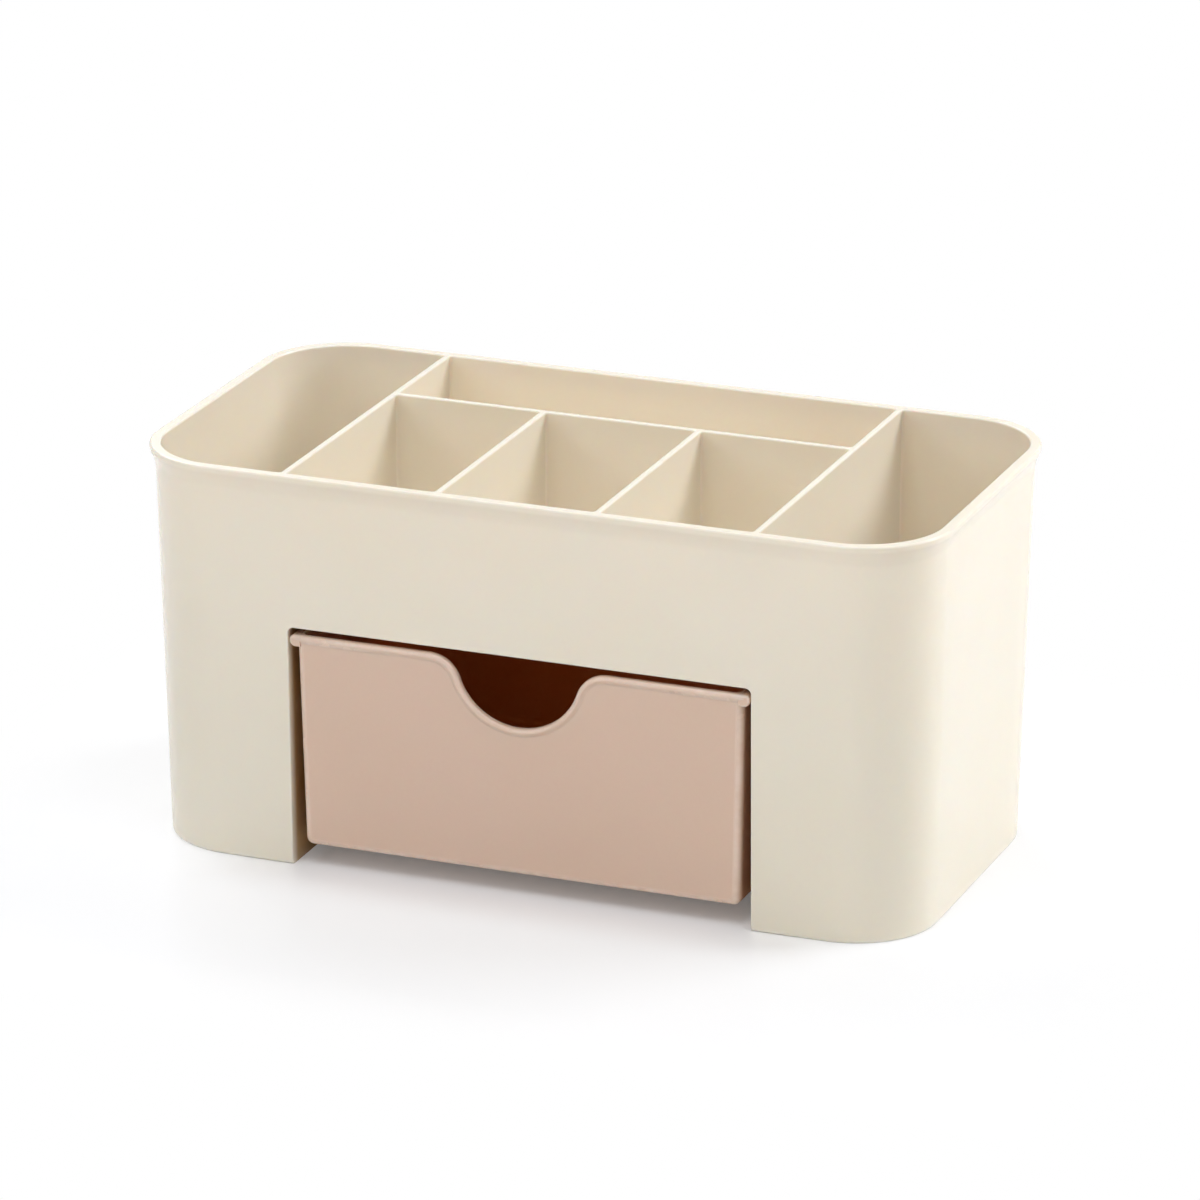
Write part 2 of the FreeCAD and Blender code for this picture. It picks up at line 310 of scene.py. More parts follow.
def piece(name, parts, body, nodes=()):
    """One object out of parts that meet point to point, smooth but for edges sharper than SHARP degrees.

    Its attribute "edge" holds how pale each point's edge is, from rubbing and a painted highlight.
    """
    points = np.concatenate([part[0] for part in parts]) * MM
    faces = []
    start = 0
    for part_points, part_faces in parts:
        faces += [[start + corner for corner in face] for face in part_faces]
        start += len(part_points)
    mesh = bpy.data.meshes.new(name)
    mesh.from_pydata(points, [], faces)
    work = bmesh.new()
    work.from_mesh(mesh)
    bmesh.ops.remove_doubles(work, verts=work.verts[:], dist=2e-6)
    bmesh.ops.dissolve_degenerate(work, edges=work.edges[:], dist=1e-7)
    bmesh.ops.recalc_face_normals(work, faces=work.faces[:])
    work.to_mesh(mesh)
    work.free()
    mesh.attributes.new("edge", "FLOAT", "POINT").data.foreach_set("value", edge_highlight_and_wear(mesh))
    mesh.shade_smooth()
    mesh.set_sharp_from_angle(angle=math.radians(SHARP))
    made = bpy.data.objects.new(name, mesh)
    bpy.context.scene.collection.objects.link(made)
    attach(made, body)
    if nodes:
        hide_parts(*nodes)
    return made


def stack(xy, z):
    """Rows of x, y with the height z of each row, which may also vary along the row."""
    height = np.broadcast_to(np.asarray(z, float).reshape(len(xy), -1), xy.shape[:2])
    return np.concatenate([xy, height[..., None]], axis=-1)


# The outside of the box

def lip_offset(z):
    """How far out from the rim the lip lies at height z, which is 0 or less.

    A small round edge of radius LIP_EDGE turns in to LIP_SLOPE degrees, R (sqrt(1 - s^2) - 1) with s the
    depth over R. Then a wide bend of radius LIP_BLEND turns back until it stands upright, and ends.
    """
    steep = math.radians(LIP_SLOPE)
    edge_z = HEIGHT - LIP_HEIGHT
    joint_x = LIP_EDGE * (math.cos(steep) - 1)
    joint_z = edge_z - LIP_EDGE * math.sin(steep)
    small = np.clip((edge_z - z) / LIP_EDGE, 0, math.sin(steep))
    wide = np.clip(math.sin(steep) - (joint_z - z) / LIP_BLEND, 0, math.sin(steep))
    on_edge = LIP_EDGE * (np.sqrt(1 - small ** 2) - 1)
    on_bend = joint_x + LIP_BLEND * (math.cos(steep) - np.sqrt(1 - wide ** 2))
    below = z < joint_z - LIP_BLEND * math.sin(steep)
    return np.where(z >= joint_z, on_edge, np.where(below, -RIM_HALF_Y, on_bend))


def flow(lip, wall):
    """The further out of the lip and the wall, with the corner between them filled.

    Where they are less than FLOW apart, FLOW / 4 times (1 - apart / FLOW) squared is added.
    """
    apart = np.clip(1 - np.abs(lip - wall) / FLOW, 0, 1)
    return np.maximum(lip, wall) + apart ** 2 * FLOW / 4


def outer_rows():
    """Heights and insets of the outside, from the foot's rounding to the top of the rim."""
    foot_in, foot_rise = round_in(FOOT_ROUND, STEPS)
    rim_in, rim_rise = round_in(RIM_ROUND, RIM_STEPS)
    upright = [FOOT_ROUND + HOLD, FACE_TOP, LIP_FROM, *np.linspace(BEND_FROM, HEIGHT - LIP_HEIGHT, BEND_ROWS),
               HEIGHT - RIM_ROUND - RIM_HOLD]
    z = np.concatenate([[0], foot_rise, upright, (HEIGHT - rim_rise)[::-1], [HEIGHT]])
    inset = np.concatenate([[FOOT_ROUND + HOLD], foot_in, np.zeros(len(upright)), rim_in[::-1],
                            [RIM_ROUND + HOLD]])
    return z, inset


def outer_outline(z, inset, steps):
    """The box's outline at each height: the wall with its draft, or the lip where that stands out further."""
    lip = lip_offset(z)
    off_x = flow(lip, half_length(z) - RIM_HALF_X) - inset
    off_y = flow(lip, half_depth(z) - RIM_HALF_Y) - inset
    radius = RIM_CORNER + np.maximum(lip, -LIP_OVERHANG) - inset
    across = RIM_HALF_X + off_x
    deep = RIM_HALF_Y + off_y
    return outline(-across, across, -deep, deep, [radius] * 4, steps)


def bay_path(outset):
    """The bay's arch drawn outwards by outset, from the foot on the right over to the foot on the left.

    Upright to its corner, a quarter round of radius BAY_CORNER + outset, then straight across to the mirror
    image.
    """
    foot_rise = round_in(FOOT_ROUND, STEPS)[1]
    leg = np.concatenate([foot_rise, [FOOT_ROUND + HOLD, BAY_HEIGHT - BAY_CORNER - HOLD]])
    turn = np.linspace(0, math.pi / 2, BAY_STEPS + 1)
    radius = BAY_CORNER + outset
    arc_x = BAY_HALF - BAY_CORNER + radius * np.cos(turn)
    arc_z = BAY_HEIGHT - BAY_CORNER + radius * np.sin(turn)
    x = np.concatenate([np.full(len(leg), BAY_HALF + outset), arc_x, [BAY_HALF - BAY_CORNER - HOLD]])
    z = np.concatenate([leg, arc_z, [BAY_HEIGHT + outset]])
    return np.concatenate([x, -x[::-1]]), np.concatenate([z, z[::-1]])


def foot_inset(z):
    """How far the foot's rounding draws the front in at height z: R - sqrt(R^2 - (R - z)^2), R FOOT_ROUND."""
    below = np.clip(FOOT_ROUND - z, 0, FOOT_ROUND)
    return FOOT_ROUND - np.sqrt(FOOT_ROUND ** 2 - below ** 2)


def bay_skin():
    """The bay: its rounded mouth on the leaning front, then straight back to the rear wall."""
    fold_in, fold_deep = round_in(BAY_ROUND, STEPS)
    outsets = np.concatenate([[BAY_ROUND + HOLD], fold_in, [0, 0]])
    depths = np.concatenate([[0], fold_deep, [BAY_ROUND + HOLD]])
    columns = []
    for order, outset in enumerate(outsets):
        x, z = bay_path(outset)
        if order < len(depths):
            y = depths[order] + foot_inset(z) - half_depth(z)
        else:
            y = back_inside(z)
        columns.append(np.stack([x, y, z], axis=-1))
    return np.stack(columns, axis=1)


def cell_rows(floor_z, floor_round):
    """Heights, insets and outsets of a cell, from its floor's edge up to its eased mouth."""
    floor_in, floor_rise = round_in(floor_round, STEPS)
    mouth_in, mouth_rise = round_in(MOUTH_ROUND, STEPS)
    mouth_out = (MOUTH_ROUND - mouth_in[::-1]) - MOUTH_ROUND
    z = np.concatenate([[floor_z], floor_z + floor_rise, [floor_z + floor_round + HOLD],
                        [HEIGHT - MOUTH_ROUND - HOLD], (HEIGHT - mouth_rise)[::-1], [HEIGHT]])
    inset = np.concatenate([[floor_round + HOLD], floor_in, [0, 0], mouth_out, [-MOUTH_ROUND - HOLD]])
    return z, inset


def cell(left, right, front, back, radii, floor_z, floor_round, steps):
    """One cell as rows of rounded rectangles that widen upwards with the draft of their walls."""
    z, inset = cell_rows(floor_z, floor_round)
    corner = [np.clip(radius - inset, 0, None) for radius in radii]
    xy = outline(left(z) + inset, right(z) - inset, front(z) + inset, back(z) - inset, corner, steps)
    return stack(xy, z)


def cells():
    """The six compartments: one at each end, the long one at the back, three in front of it."""
    large = WALL_CORNER - WALL
    small = CELL_CORNER

    def wall_face(x, side):
        """A partition's face at each height: its middle at x, plus or minus half its thickness."""
        return lambda z: x + side * partition_half(z)

    def front(z):
        """The front's inner face, the mirror image of the rear's."""
        return -back_inside(z)

    made = [cell(lambda z: -end_inside(z), wall_face(-CROSS_X, -1), front, back_inside,
                 [large, small, small, large], LEG_FLOOR, LEG_CORNER, [END_STEPS, STEPS, STEPS, END_STEPS]),
            cell(wall_face(CROSS_X, 1), end_inside, front, back_inside,
                 [small, large, large, small], LEG_FLOOR, LEG_CORNER, [STEPS, END_STEPS, END_STEPS, STEPS]),
            cell(wall_face(-CROSS_X, 1), wall_face(CROSS_X, -1), wall_face(LONG_Y, 1), back_inside,
                 [small] * 4, SHELF_TOP, CELL_CORNER, [STEPS] * 4)]
    walls = [-CROSS_X, -SHORT_X, SHORT_X, CROSS_X]
    for left_x, right_x in zip(walls[:-1], walls[1:]):
        made.append(cell(wall_face(left_x, 1), wall_face(right_x, -1), front, wall_face(LONG_Y, -1),
                         [small] * 4, SHELF_TOP, CELL_CORNER, [STEPS] * 4))
    return made


def box_shell():
    """The whole box as one closed skin: outside, front with the bay's mouth, bay, foot, cells and rim."""
    z, inset = outer_rows()
    skin = stack(outer_outline(z, inset, CORNER_STEPS), z)
    front_left = CORNER_STEPS[0] + 2
    front_right = front_left + 1
    low = STEPS + 2
    high = low + 1
    gap = np.zeros((len(z) - 1, skin.shape[1]), bool)
    gap[:high, front_left] = True
    parts = [grid(skin, closed=True, skip=gap)]

    bay = bay_skin()
    parts.append(grid(bay))
    parts.append(cap(bay[:, -1]))

    legs = []
    for side in (1, -1):
        column = skin[:low + 1, front_right if side > 0 else front_left]
        inner = column.copy()
        inner[:, 0] = side * (BAY_HALF + BAY_ROUND + HOLD)
        legs.append(inner)
        parts.append(grid(np.stack([inner, column], axis=1)))

    mouth = bay[STEPS + 1:-STEPS - 1, 0]
    face = np.concatenate([skin[low:high + 1, front_right][::-1], mouth, skin[low:high + 1, front_left]])
    parts.append(fill([face], [0, 2]))

    ring = np.roll(skin[0], -front_right, axis=0)
    foot = np.concatenate([bay[0][::-1], legs[0][:1], ring, legs[1][:1], bay[-1]])
    parts.append(fill([foot], [0, 1]))

    mouths = [skin[-1]]
    for hollow in cells():
        parts.append(grid(hollow, closed=True))
        parts.append(cap(hollow[0]))
        mouths.append(hollow[-1])
    parts.append(fill(mouths, [0, 1]))
    return parts


def ledge(side):
    """The rail under one runner: a flat top, a short nose and an underside that slopes back to the wall."""
    root = BAY_HALF + LEDGE_SUNK
    eased = LEDGE_INNER + LEDGE_EASE
    x = side * np.array([root, eased, LEDGE_INNER, LEDGE_INNER, eased, BAY_HALF, root])
    z = np.array([LEDGE_TOP, LEDGE_TOP, LEDGE_TOP - LEDGE_EASE, LEDGE_BOTTOM + LEDGE_EASE, LEDGE_BOTTOM,
                  LEDGE_ROOT, LEDGE_ROOT])
    near = np.stack([x, LEDGE_SETBACK - half_depth(z), z], axis=-1)
    far = np.stack([x, back_inside(z) + LEDGE_SUNK, z], axis=-1)
    return [grid(np.stack([near, far]), closed=True), cap(near), cap(far)]


# The drawer

def on_front(x, w, q):
    """A point by x across, w up along the leaning front and q in from it: w and q turned by the draft."""
    lean = math.radians(FACE_DRAFT)
    return np.stack([x, q * math.cos(lean) - w * math.sin(lean) - half_depth(0),
                     q * math.sin(lean) + w * math.cos(lean)], axis=-1)


def notch_path(end):
    """The top edge of the drawer's front with the finger notch, from the left end to the right end.

    Straight, then a shoulder of radius SHOULDER that bends down, a round bowl, the other shoulder, and
    straight again. Shoulder and bowl together have a radius of (half span^2 + depth^2) / (2 depth), as an
    arc of that span and depth has. The two last columns point into the material.
    """
    top = DRAWER_TOP / math.cos(math.radians(FACE_DRAFT))
    reach = (NOTCH_HALF ** 2 + NOTCH_DEPTH ** 2) / (2 * NOTCH_DEPTH)
    bowl = reach - SHOULDER
    turn = math.atan2(NOTCH_HALF, reach - NOTCH_DEPTH)
    shoulder = np.linspace(0, turn, SHOULDER_STEPS + 1)
    x = -NOTCH_HALF + SHOULDER * np.sin(shoulder)
    w = top - SHOULDER + SHOULDER * np.cos(shoulder)
    into = np.stack([-np.sin(shoulder), -np.cos(shoulder)], axis=-1)
    left = np.column_stack([x, w, into])
    around = np.linspace(-turn, turn, BOWL_STEPS + 1)[1:-1]
    centre = top - NOTCH_DEPTH + bowl
    middle = np.column_stack([bowl * np.sin(around), centre - bowl * np.cos(around), np.sin(around),
                              -np.cos(around)])
    right = left[::-1] * [-1, 1, -1, 1]
    flat = np.array([[-end, top, 0, -1], [-NOTCH_HALF - HOLD, top, 0, -1]])
    return np.concatenate([flat, left, middle, right, flat[::-1] * [-1, 1, -1, 1]])


def bead_section():
    """Across the bead, a soft roll: how far each point lies down from the top edge, and how deep.

    It swells out of the drawer's face by BEAD_RISE (1 - cos(pi u)) / 2, u from 0 to 1 over its lower side.
    A round arc leads over the top, and the back of the wall follows. The section closes inside the wall.
    """
    turn = np.linspace(0, math.pi / 2, ROLL_STEPS + 1)
    half = BEAD_WIDTH / 2
    swell = np.linspace(0, 1, SWELL_STEPS + 1)
    thick = (BEAD_RISE + DRAWER_WALL) * math.cos(math.radians(FACE_DRAFT)) + BEAD_PAST
    back_in, back_rise = round_in(DRAWER_EDGE, THIN_STEPS)
    foot = BEAD_WIDTH + BEAD_FOOT
    down = np.concatenate([[foot], foot - (foot - half) * swell, half - half * np.sin(turn)[1:], [0],
                           back_rise, [DRAWER_EDGE + HOLD, BEAD_WIDTH]])
    deep = np.concatenate([[BEAD_HIDDEN], BEAD_IN + BEAD_RISE * (1 + np.cos(math.pi * swell)) / 2,
                           BEAD_IN + half - half * np.cos(turn)[1:], [thick - DRAWER_EDGE - HOLD],
                           thick - back_in, [thick, thick]])
    return down, deep


def bead_bar():
    """The bead round the drawer's upper edge: its section carried along the notch's path, ends eased."""
    path = notch_path(RUNNER_HALF - RUNNER_NOSE)
    down, deep = bead_section()
    rows = [(path[:1] + [reach, 0, 0, 0], shrink) for reach, shrink in BEAD_ENDS]
    rows.append((path[1:-1], 0))
    rows += [(path[-1:] - [reach, 0, 0, 0], shrink) for reach, shrink in BEAD_ENDS[::-1]]
    stations = []
    for points, shrink in rows:
        p = down + shrink * (1 - 2 * down / down.max())
        q = deep + shrink * (1 - 2 * deep / deep.max())
        x = points[:, :1] + p * points[:, 2:3]
        w = points[:, 1:2] + p * points[:, 3:4]
        stations.append(on_front(x, w, np.broadcast_to(q, x.shape)))
    bar = np.concatenate(stations)
    return [grid(bar, closed=True), cap(bar[0]), cap(bar[-1])]


def drawer_tray():
    """The drawer's tray: one skin up the outside, over the wall and down inside, with a notched front.

    Each row is a rounded rectangle drawn in by its inset, which grows from 0 outside to DRAWER_WALL inside.
    The front's two faces are planes filled up to the notch's path, lowered by WALL_TOP.
    """
    foot_in, foot_rise = round_in(DRAWER_CORNER, STEPS)
    lip_in, lip_rise = round_in(DRAWER_EDGE, THIN_STEPS)
    room_in, room_rise = round_in(DRAWER_INNER_CORNER, STEPS)
    under = DRAWER_TOP - WALL_TOP
    z = np.concatenate([[DRAWER_BOTTOM], DRAWER_BOTTOM + foot_rise, [DRAWER_BOTTOM + DRAWER_CORNER + HOLD],
                        [under], (DRAWER_TOP - lip_rise)[::-1], [DRAWER_TOP, DRAWER_TOP],
                        DRAWER_TOP - lip_rise, [under], [DRAWER_FLOOR + DRAWER_INNER_CORNER + HOLD],
                        (DRAWER_FLOOR + room_rise)[::-1], [DRAWER_FLOOR]])
    inset = np.concatenate([[DRAWER_CORNER + HOLD], foot_in, [0, 0],
                            DRAWER_EDGE - (DRAWER_EDGE - lip_in)[::-1],
                            [DRAWER_EDGE + HOLD, DRAWER_WALL - DRAWER_EDGE - HOLD],
                            DRAWER_WALL - lip_in, [DRAWER_WALL] * 2,
                            DRAWER_WALL + room_in[::-1], [DRAWER_WALL + DRAWER_INNER_CORNER + HOLD]])
    outer = DRAWER_CORNER + (DRAWER_INNER_CORNER - DRAWER_CORNER) * np.clip(inset / DRAWER_WALL, 0, 1)
    radius = np.where(z < under, np.where(inset < DRAWER_WALL - 0.001, DRAWER_CORNER - inset,
                                          DRAWER_INNER_CORNER + DRAWER_WALL - inset), outer)
    radius = np.clip(radius, 0, None)
    xy = outline(inset - drawer_side(z), drawer_side(z) - inset, drawer_face(z) + inset,
                 drawer_back(z) - inset, [radius] * 4, [STEPS] * 4)
    skin = stack(xy, z)
    front_left = STEPS + 2
    front_right = front_left + 1
    first = STEPS + 2
    last = len(z) - first - 1
    gap = np.zeros((len(z) - 1, skin.shape[1]), bool)
    gap[first:last, front_left] = True
    parts = [grid(skin, closed=True, skip=gap), cap(skin[0]), cap(skin[-1])]

    path = notch_path(0)[1:-1]
    x = path[:, 0] + WALL_TOP * path[:, 2]
    w = path[:, 1] + WALL_TOP * path[:, 3]
    lean = math.cos(math.radians(FACE_DRAFT))
    near = on_front(x, w, np.full(len(x), BEAD_RISE * lean))
    far = on_front(x, w, np.full(len(x), (BEAD_RISE + DRAWER_WALL) * lean))
    outside = [skin[first, front_left], skin[first + 1, front_left]]
    outside_right = [skin[first + 1, front_right], skin[first, front_right]]
    inside = [skin[last, front_left], skin[last - 1, front_left]]
    inside_right = [skin[last - 1, front_right], skin[last, front_right]]
    near_edge = np.concatenate([outside[1:], near, outside_right[:1]])
    far_edge = np.concatenate([inside[1:], far, inside_right[:1]])
    parts.append(fill([np.concatenate([outside[:1], near_edge, outside_right[1:]])], [0, 2]))
    parts.append(fill([np.concatenate([inside[:1], far_edge, inside_right[1:]])], [0, 2]))
    parts.append(grid(np.stack([near_edge, far_edge], axis=1)))
    for column in (front_left, front_right):
        parts.append(fill([skin[first + 1:last, column]], [1, 2]))
    return parts


def runner(side):
    """The flange along the drawer's side: flat above and below, with a round nose.

    Its front end, the ear beside the bead, is rounded over EAR_ROUND: a row that lies s in from the end
    is drawn in by EAR_ROUND - sqrt(EAR_ROUND^2 - (EAR_ROUND - s)^2).
    """
    root = DRAWER_HALF - RUNNER_SUNK
    turn = np.linspace(0, math.pi / 2, ROLL_STEPS + 1)
    fall = np.linspace(math.pi / 2, 0, ROLL_STEPS + 1)
    high = RUNNER_NOSE * np.sin(turn)
    high_out = RUNNER_NOSE * np.cos(turn)
    low = RUNNER_LOW * np.sin(turn)
    low_out = RUNNER_LOW * np.cos(turn)
    x = np.concatenate([[root, RUNNER_HALF - RUNNER_LOW - HOLD], (RUNNER_HALF - RUNNER_LOW + low_out)[::-1],
                        RUNNER_HALF - RUNNER_NOSE + high_out, [RUNNER_HALF - RUNNER_NOSE - HOLD, root]])
    z = np.concatenate([[RUNNER_BOTTOM] * 2, (RUNNER_BOTTOM + RUNNER_LOW - low)[::-1],
                        DRAWER_TOP - RUNNER_NOSE + high, [DRAWER_TOP] * 2])
    out = np.concatenate([[0, 0], np.cos(fall), np.cos(turn), [0, 0]])
    rise = np.concatenate([[-1, -1], -np.sin(fall), np.sin(turn), [1, 1]])
    along = EAR_ROUND * (1 - np.cos(np.linspace(0, math.pi / 2, STEPS + 1)))
    drawn = EAR_ROUND - np.sqrt(EAR_ROUND ** 2 - (EAR_ROUND - along) ** 2)
    front_y = drawer_face(z) - BEAD_RISE + EAR_BACK
    back_y = drawer_back(z) - RUNNER_SHORT
    ends = [(front_y + from_end, shrink) for from_end, shrink in zip(along, drawn)]
    ends += [(back_y - from_end, shrink) for from_end, shrink in zip(along, drawn)][::-1]
    rows = [np.stack([side * (x - out * shrink), y, z - rise * shrink + RUNNER_LIFT], axis=-1)
            for y, shrink in ends]
    bar = np.stack(rows)
    return [grid(bar, closed=True), cap(bar[0]), cap(bar[-1])]


box_skin = piece("box_moulding", box_shell(), "box", nodes=["housing"])
SIDES = (("right", 1), ("left", -1))
ledges = [piece("ledge_" + word, ledge(side), "box") for word, side in SIDES]
tray_skin = piece("drawer_tray", drawer_tray(), "tray", nodes=["drawer"])
bead = piece("drawer_bead", bead_bar(), "tray")
runners = [piece("runner_" + word, runner(side), "tray") for word, side in SIDES]


# Materials

def colour(code):
    """An sRGB hex colour as the linear values that the shaders take."""
    parts = [int(code[start:start + 2], 16) / 255 for start in (0, 2, 4)]
    linear = [part / 12.92 if part <= 0.04045 else ((part + 0.055) / 1.055) ** 2.4 for part in parts]
    return (*linear, 1)


def add(tree, kind, settings=None, links=None):
    """A node with its settings, by attribute or input name, and its inputs linked from other nodes."""
    made = tree.nodes.new("ShaderNode" + kind)
    for name, value in (settings or {}).items():
        if isinstance(name, int) or name in made.inputs:
            made.inputs[name].default_value = value
        else:
            setattr(made, name, value)
    for name, source in (links or {}).items():
        tree.links.new(source, made.inputs[name])
    return made


def gap_shade_mask(tree, place, outside):
    """1 behind the box's front, on the drawer's sides if outside is set and in its bay if not, 0 elsewhere:
    the mask of the painted shade in the gaps round the drawer.

    The depth behind the leaning front is y + z tan(draft) + half the depth at the table, and the painted
    shade comes in from 0.6 to 4 mm of it. The bay ends 0.3 mm inside the rear wall.
    """
    parts = add(tree, "SeparateXYZ", links={"Vector": place})
    lean = add(tree, "Math", {"operation": "MULTIPLY_ADD", 1: slope(FACE_DRAFT), 2: half_depth(0) * MM},
               {0: parts.outputs["Z"]})
    depth = add(tree, "Math", {"operation": "ADD"}, {0: parts.outputs["Y"], 1: lean.outputs["Value"]})
    inward = add(tree, "MapRange", {"interpolation_type": "SMOOTHSTEP", "From Min": 0.0006,
                                    "From Max": 0.004}, {"Value": depth.outputs["Value"]})
    wide = add(tree, "Math", {"operation": "ABSOLUTE"}, {0: parts.outputs["X"]})
    if outside:
        side = add(tree, "Math", {"operation": "MULTIPLY_ADD", 1: -slope(DRAWER_DRAFT),
                                  2: -(drawer_side(0) - DRAWER_WALL / 2) * MM}, {0: parts.outputs["Z"]})
        off = add(tree, "Math", {"operation": "ADD"}, {0: wide.outputs["Value"], 1: side.outputs["Value"]})
        there = add(tree, "Math", {"operation": "GREATER_THAN", 1: 0.0}, {0: off.outputs["Value"]})
    else:
        across = add(tree, "Math", {"operation": "LESS_THAN", 1: (BAY_HALF + 0.05) * MM},
                     {0: wide.outputs["Value"]})
        under = add(tree, "Math", {"operation": "LESS_THAN", 1: (BAY_HEIGHT + 0.05) * MM},
                    {0: parts.outputs["Z"]})
        rear = add(tree, "Math", {"operation": "MULTIPLY_ADD", 1: -slope(FACE_DRAFT),
                                  2: -(back_inside(0) + 0.3) * MM}, {0: parts.outputs["Z"]})
        short = add(tree, "Math", {"operation": "ADD"}, {0: parts.outputs["Y"], 1: rear.outputs["Value"]})
        within = add(tree, "Math", {"operation": "LESS_THAN", 1: 0.0}, {0: short.outputs["Value"]})
        arch = add(tree, "Math", {"operation": "MULTIPLY"}, {0: across.outputs["Value"],
                                                              1: under.outputs["Value"]})
        there = add(tree, "Math", {"operation": "MULTIPLY"}, {0: arch.outputs["Value"],
                                                               1: within.outputs["Value"]})
    return add(tree, "Math", {"operation": "MULTIPLY"}, {0: inward.outputs["Result"],
                                                          1: there.outputs["Value"]}).outputs["Value"]


def polypropylene(name, base, shade, tint, gap_shade_colour, gloss, glow, outside):
    """Injection-moulded polypropylene: an even satin skin from a polished mould, faintly milky.

    It drifts between base and shade, and its grains and its paler edges take tint, the edges paler from
    rubbing and from a painted highlight. gap_shade_colour is the painted shade in the gaps round the drawer,
    where gap_shade_mask says. gloss is its roughness, and glow how far red, green and blue reach inside it in
    millimetres.
    """
    material = bpy.data.materials.new(name)
    material.use_nodes = True
    tree = material.node_tree
    tree.nodes.clear()
    place = add(tree, "TexCoord").outputs["Object"]
    # flow of the melt: a cloudy drift of tone some 60 mm across
    melt = add(tree, "TexNoise", {"Scale": 1 / 0.06, "Detail": 2.0, "Roughness": 0.5}, {"Vector": place})
    # pigment that did not mix fully: soft grains of 0.9 mm
    grain = add(tree, "TexNoise", {"Scale": 1 / 0.0009, "Detail": 2.0, "Roughness": 0.6}, {"Vector": place})
    drift = add(tree, "MapRange", {"From Min": 0.3, "From Max": 0.7, "To Min": 0.0, "To Max": 1.0},
                {"Value": melt.outputs["Fac"]})
    cloudy = add(tree, "MixRGB", {"Color1": colour(base), "Color2": colour(shade)},
                 {"Fac": drift.outputs["Result"]})
    speck = add(tree, "MapRange", {"From Min": 0.25, "From Max": 0.75, "To Min": 0.0, "To Max": 0.05},
                {"Value": grain.outputs["Fac"]})
    tone = add(tree, "MixRGB", {"Color2": colour(tint)},
               {"Fac": speck.outputs["Result"], "Color1": cloudy.outputs["Color"]})
    # hands rubbing the small outer edges make them smoother, and they are paler there from the rubbing and a
    # painted highlight, in patches some 4 mm long
    edge = add(tree, "Attribute", {"attribute_name": "edge"})
    edge_patches = add(tree, "TexNoise", {"Scale": 1 / 0.004, "Detail": 2.0}, {"Vector": place})
    patchy_edges = add(tree, "MapRange", {"From Min": 0.35, "From Max": 0.65, "To Min": 0.25, "To Max": 0.65},
                 {"Value": edge_patches.outputs["Fac"]})
    highlight_and_wear = add(tree, "Math", {"operation": "MULTIPLY"}, {0: edge.outputs["Fac"], 1: patchy_edges.outputs["Result"]})
    highlighted_and_worn = add(tree, "MixRGB", {"Color2": colour(tint)},
               {"Fac": highlight_and_wear.outputs["Value"], "Color1": tone.outputs["Color"]})
    # painted shade in the gaps round the drawer: a browner, darker tone where the drawer runs, uneven over
    # some 15 mm
    gap_shade_noise = add(tree, "TexNoise", {"Scale": 1 / 0.015, "Detail": 3.0}, {"Vector": place})
    gap_shade_spread = add(tree, "MapRange", {"From Min": 0.3, "From Max": 0.7, "To Min": 0.85, "To Max": 1.0},
               {"Value": gap_shade_noise.outputs["Fac"]})
    gap_shade = add(tree, "Math", {"operation": "MULTIPLY"}, {0: gap_shade_mask(tree, place, outside),
                                                          1: gap_shade_spread.outputs["Result"]})
    final = add(tree, "MixRGB", {"Color2": colour(gap_shade_colour)},
                {"Fac": gap_shade.outputs["Value"], "Color1": highlighted_and_worn.outputs["Color"]})
    # handling: patches of 12 mm where the gloss is a little duller
    patches = add(tree, "TexNoise", {"Scale": 1 / 0.012, "Detail": 3.0, "Roughness": 0.6}, {"Vector": place})
    rough = add(tree, "MapRange", {"From Min": 0.3, "From Max": 0.7, "To Min": gloss - 0.01,
                                   "To Max": gloss + 0.02}, {"Value": patches.outputs["Fac"]})
    polish = add(tree, "Math", {"operation": "MULTIPLY", 1: -0.12}, {0: highlight_and_wear.outputs["Value"]})
    sheen = add(tree, "Math", {"operation": "ADD"}, {0: rough.outputs["Result"], 1: polish.outputs["Value"]})
    # the polished mould leaves a ripple some 5 mm long and a skin of 0.5 mm, drawn coarse enough to show
    ripple = add(tree, "TexNoise", {"Scale": 1 / 0.005, "Detail": 1.0}, {"Vector": place})
    skin = add(tree, "TexNoise", {"Scale": 1 / 0.0005, "Detail": 1.0}, {"Vector": place})
    wave = add(tree, "Bump", {"Strength": 0.03, "Distance": 0.0002}, {"Height": ripple.outputs["Fac"]})
    relief = add(tree, "Bump", {"Strength": 0.05, "Distance": 0.00002},
                 {"Height": skin.outputs["Fac"], "Normal": wave.outputs["Normal"]})
    surface = add(tree, "BsdfPrincipled",
                  {"IOR": 1.49, "Subsurface Weight": 0.3, "Subsurface Radius": glow,
                   "Subsurface Scale": MM},
                  {"Base Color": final.outputs["Color"], "Roughness": sheen.outputs["Value"],
                   "Normal": relief.outputs["Normal"]})
    add(tree, "OutputMaterial", links={"Surface": surface.outputs["BSDF"]})
    return material


# the fourth colour of each material is the painted shade in the gaps round the drawer
ivory = polypropylene("ivory_polypropylene", "ECE3D0", "EAE0CB", "F5EEE0", "BE965F", 0.24,
                      (3.0, 1.9, 1.0), False)
pink = polypropylene("dusty_pink_polypropylene", "DDBFA9", "DBBDA5", "EED8C8", "B98E76", 0.3,
                     (3.0, 1.4, 0.8), True)


def dress(item, material):
    """The material on the whole item."""
    item.data.materials.clear()
    item.data.materials.append(material)


for item in [box_skin] + ledges + [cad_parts["housing"]]:
    dress(item, ivory)
for item in [tray_skin, bead] + runners + [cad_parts["drawer"]]:
    dress(item, pink)


# The studio: a pale floor that runs up into a backdrop

